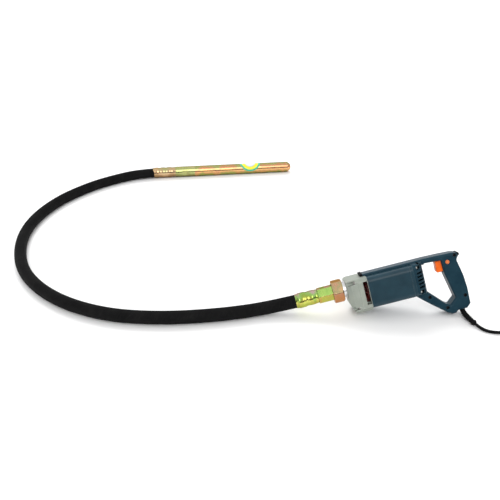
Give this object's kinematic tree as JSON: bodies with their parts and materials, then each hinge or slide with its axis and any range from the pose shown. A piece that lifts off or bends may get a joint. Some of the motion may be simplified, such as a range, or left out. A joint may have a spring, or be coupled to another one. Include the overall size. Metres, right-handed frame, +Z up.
{
  "type": "hand-held electric concrete vibrator",
  "caption": "Hand-held electric concrete vibrator with a D-handle drive, a flexible shaft in a rubber hose and a slim vibrating poker head",
  "frame": {"origin": "middle of the footprint of the drive unit and head, on the floor, without the hose and the mains lead", "axes": "+Z up, +X towards the grip end of the drive unit, +Y from the drive unit towards the head lying behind it"},
  "size_m": [1.3555, 1.0527, 0.1423],
  "materials": {
    "cast_alloy": "satin",
    "casing_plastic": "matte",
    "zinc_gold": "satin",
    "bright_steel": "satin",
    "dark_steel": "satin",
    "copper": "satin",
    "brass_part": "satin",
    "carbon": "matte",
    "black_plastic": "matte",
    "orange_plastic": "gloss",
    "black_rubber": "matte"
  },
  "bodies": {
    "tool": {"bearing_plate": "cast_alloy", "bearing_spacer": "bright_steel", "brush_holders": "brass_part", "brush_spring_far": "bright_steel", "brush_spring_near": "bright_steel", "cap_screws": "bright_steel", "coil_tie": "black_plastic", "cord_clamp": "black_plastic", "drive_cable": "bright_steel", "field_coils": "copper", "gear_housing": "cast_alloy", "gear_housing_screws": "bright_steel", "handle_screws": "dark_steel", "handle_shell_far": "casing_plastic", "handle_shell_near": "casing_plastic", "head_bearings": "bright_steel", "head_ferrule": "zinc_gold", "head_joint": "zinc_gold", "head_seal": "black_rubber", "head_tip": "zinc_gold", "head_tube": "zinc_gold", "hose": "black_rubber", "hose_fitting": "zinc_gold", "inner_lead": "black_rubber", "lead_coil": "black_rubber", "lead_tail": "black_rubber", "mains_lead": "black_rubber", "motor_bearing_front": "bright_steel", "motor_bearing_rear": "bright_steel", "motor_ferrule": "zinc_gold", "motor_housing": "casing_plastic", "plug_body": "black_rubber", "plug_pins": "brass_part", "rear_bumper": "black_rubber", "spindle_bearing_front": "bright_steel", "spindle_bearing_rear": "bright_steel", "spindle_nose": "bright_steel", "spine_bumper": "black_rubber", "stator_core": "dark_steel", "strain_relief": "black_rubber", "switch_body": "black_plastic", "trigger_pin": "bright_steel"},
    "armature": {"armature_shaft": "bright_steel", "armature_core": "dark_steel", "armature_windings": "copper", "commutator": "copper", "fan": "black_plastic"},
    "output_drive": {"output_spindle": "bright_steel", "output_gear": "bright_steel", "drive_tang": "bright_steel"},
    "eccentric": {"eccentric_shaft": "bright_steel", "cable_end": "bright_steel"},
    "trigger_body": {"trigger": "orange_plastic"},
    "lock_body": {"lock_button": "orange_plastic"},
    "nut_ring": {"thrust_ring": "bright_steel"},
    "nut": {"coupling_nut": "zinc_gold"},
    "brush_near": {"carbon_brush_near": "carbon"},
    "brush_far": {"carbon_brush_far": "carbon"}
  },
  "joints": [
    {"name": "armature_spin", "type": "hinge", "parent": "tool", "child": "armature", "pos_m": [0.22241, -0.39329, 0.06599], "axis": [0.9677, 0.0903, 0.2353], "continuous": true},
    {"name": "spindle_spin", "type": "hinge", "parent": "tool", "child": "output_drive", "pos_m": [0.13209, -0.39698, 0.05638], "axis": [0.9677, 0.0903, 0.2353], "continuous": true},
    {"name": "eccentric_spin", "type": "hinge", "parent": "tool", "child": "eccentric", "pos_m": [-0.17435, 0.41838, 0.0175], "axis": [0.9926, 0.1215, 0], "continuous": true},
    {"name": "trigger_squeeze", "type": "hinge", "parent": "tool", "child": "trigger_body", "pos_m": [0.34919, -0.37294, 0.11901], "axis": [0, -0.9336, 0.3584], "range_deg": [0, 8], "stiffness_Nm_per_rad": 0.8, "springref_deg": -5.73},
    {"name": "lock_press", "type": "slide", "parent": "tool", "child": "lock_body", "axis": [0, 0.9336, -0.3584], "range_m": [0, 0.0025], "stiffness_N_per_m": 250, "springref_m": -0.001},
    {"name": "ring_travel", "type": "slide", "parent": "tool", "child": "nut_ring", "axis": [-0.9677, -0.0903, -0.2353], "range_m": [0, 0.006]},
    {"name": "nut_turn", "type": "hinge", "parent": "nut_ring", "child": "nut", "pos_m": [0.11564, -0.39851, 0.05238], "axis": [0.9677, 0.0903, 0.2353], "range_deg": [0, 1080]},
    {"name": "brush_near_slide", "type": "slide", "parent": "tool", "child": "brush_near", "axis": [0, -0.9336, 0.3584], "range_m": [0, 0.004], "stiffness_N_per_m": 150, "springref_m": -0.004, "deforming": ["brush_spring_near"]},
    {"name": "brush_far_slide", "type": "slide", "parent": "tool", "child": "brush_far", "axis": [0, 0.9336, -0.3584], "range_m": [0, 0.004], "stiffness_N_per_m": 150, "springref_m": -0.004, "deforming": ["brush_spring_far"]}
  ],
  "couplings": [
    {"joint": "spindle_spin", "follows": "armature_spin", "ratio": -0.45454},
    {"joint": "eccentric_spin", "follows": "armature_spin", "ratio": 0.45454},
    {"joint": "ring_travel", "follows": "nut_turn", "m_per_rad": 0.00031831}
  ]
}
